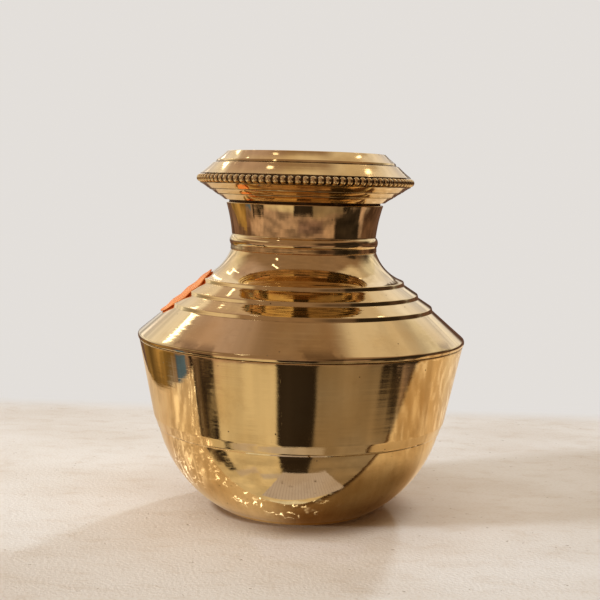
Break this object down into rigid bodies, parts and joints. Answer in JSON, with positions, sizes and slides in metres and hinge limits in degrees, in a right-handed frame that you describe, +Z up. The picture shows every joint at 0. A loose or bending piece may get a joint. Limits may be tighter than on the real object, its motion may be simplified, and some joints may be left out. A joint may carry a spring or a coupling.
{
  "type": "kalash water pot",
  "caption": "Round-bellied brass water pot with a beaded flaring mouth, waisted neck, stepped shoulder, sharp waistline and low foot ring; holds and pours water.",
  "frame": {"origin": "centre of the foot ring on the surface that the pot stands on", "axes": "+Z up along the pot's axis towards the mouth, -X towards the label on the shoulder"},
  "size_m": [0.1402, 0.1402, 0.1534],
  "materials": {
    "polished_brass": "polished and turned, lightly scratched",
    "braze_metal": "dull, as flowed",
    "label_paper": "smooth coated paper, plain"
  },
  "bodies": {
    "root": {"foot_ring": "polished_brass", "foot_braze": "braze_metal", "base_bowl": "polished_brass", "belly_braze": "braze_metal", "belly_wall": "polished_brass", "shoulder_braze": "braze_metal", "shoulder": "polished_brass", "neck_braze": "braze_metal", "neck": "polished_brass", "mouth_braze": "braze_metal", "mouth_flare": "polished_brass", "bead_wire": "polished_brass", "crown_braze": "braze_metal", "mouth_crown": "polished_brass", "shoulder_label": "label_paper"}
  },
  "joints": []
}
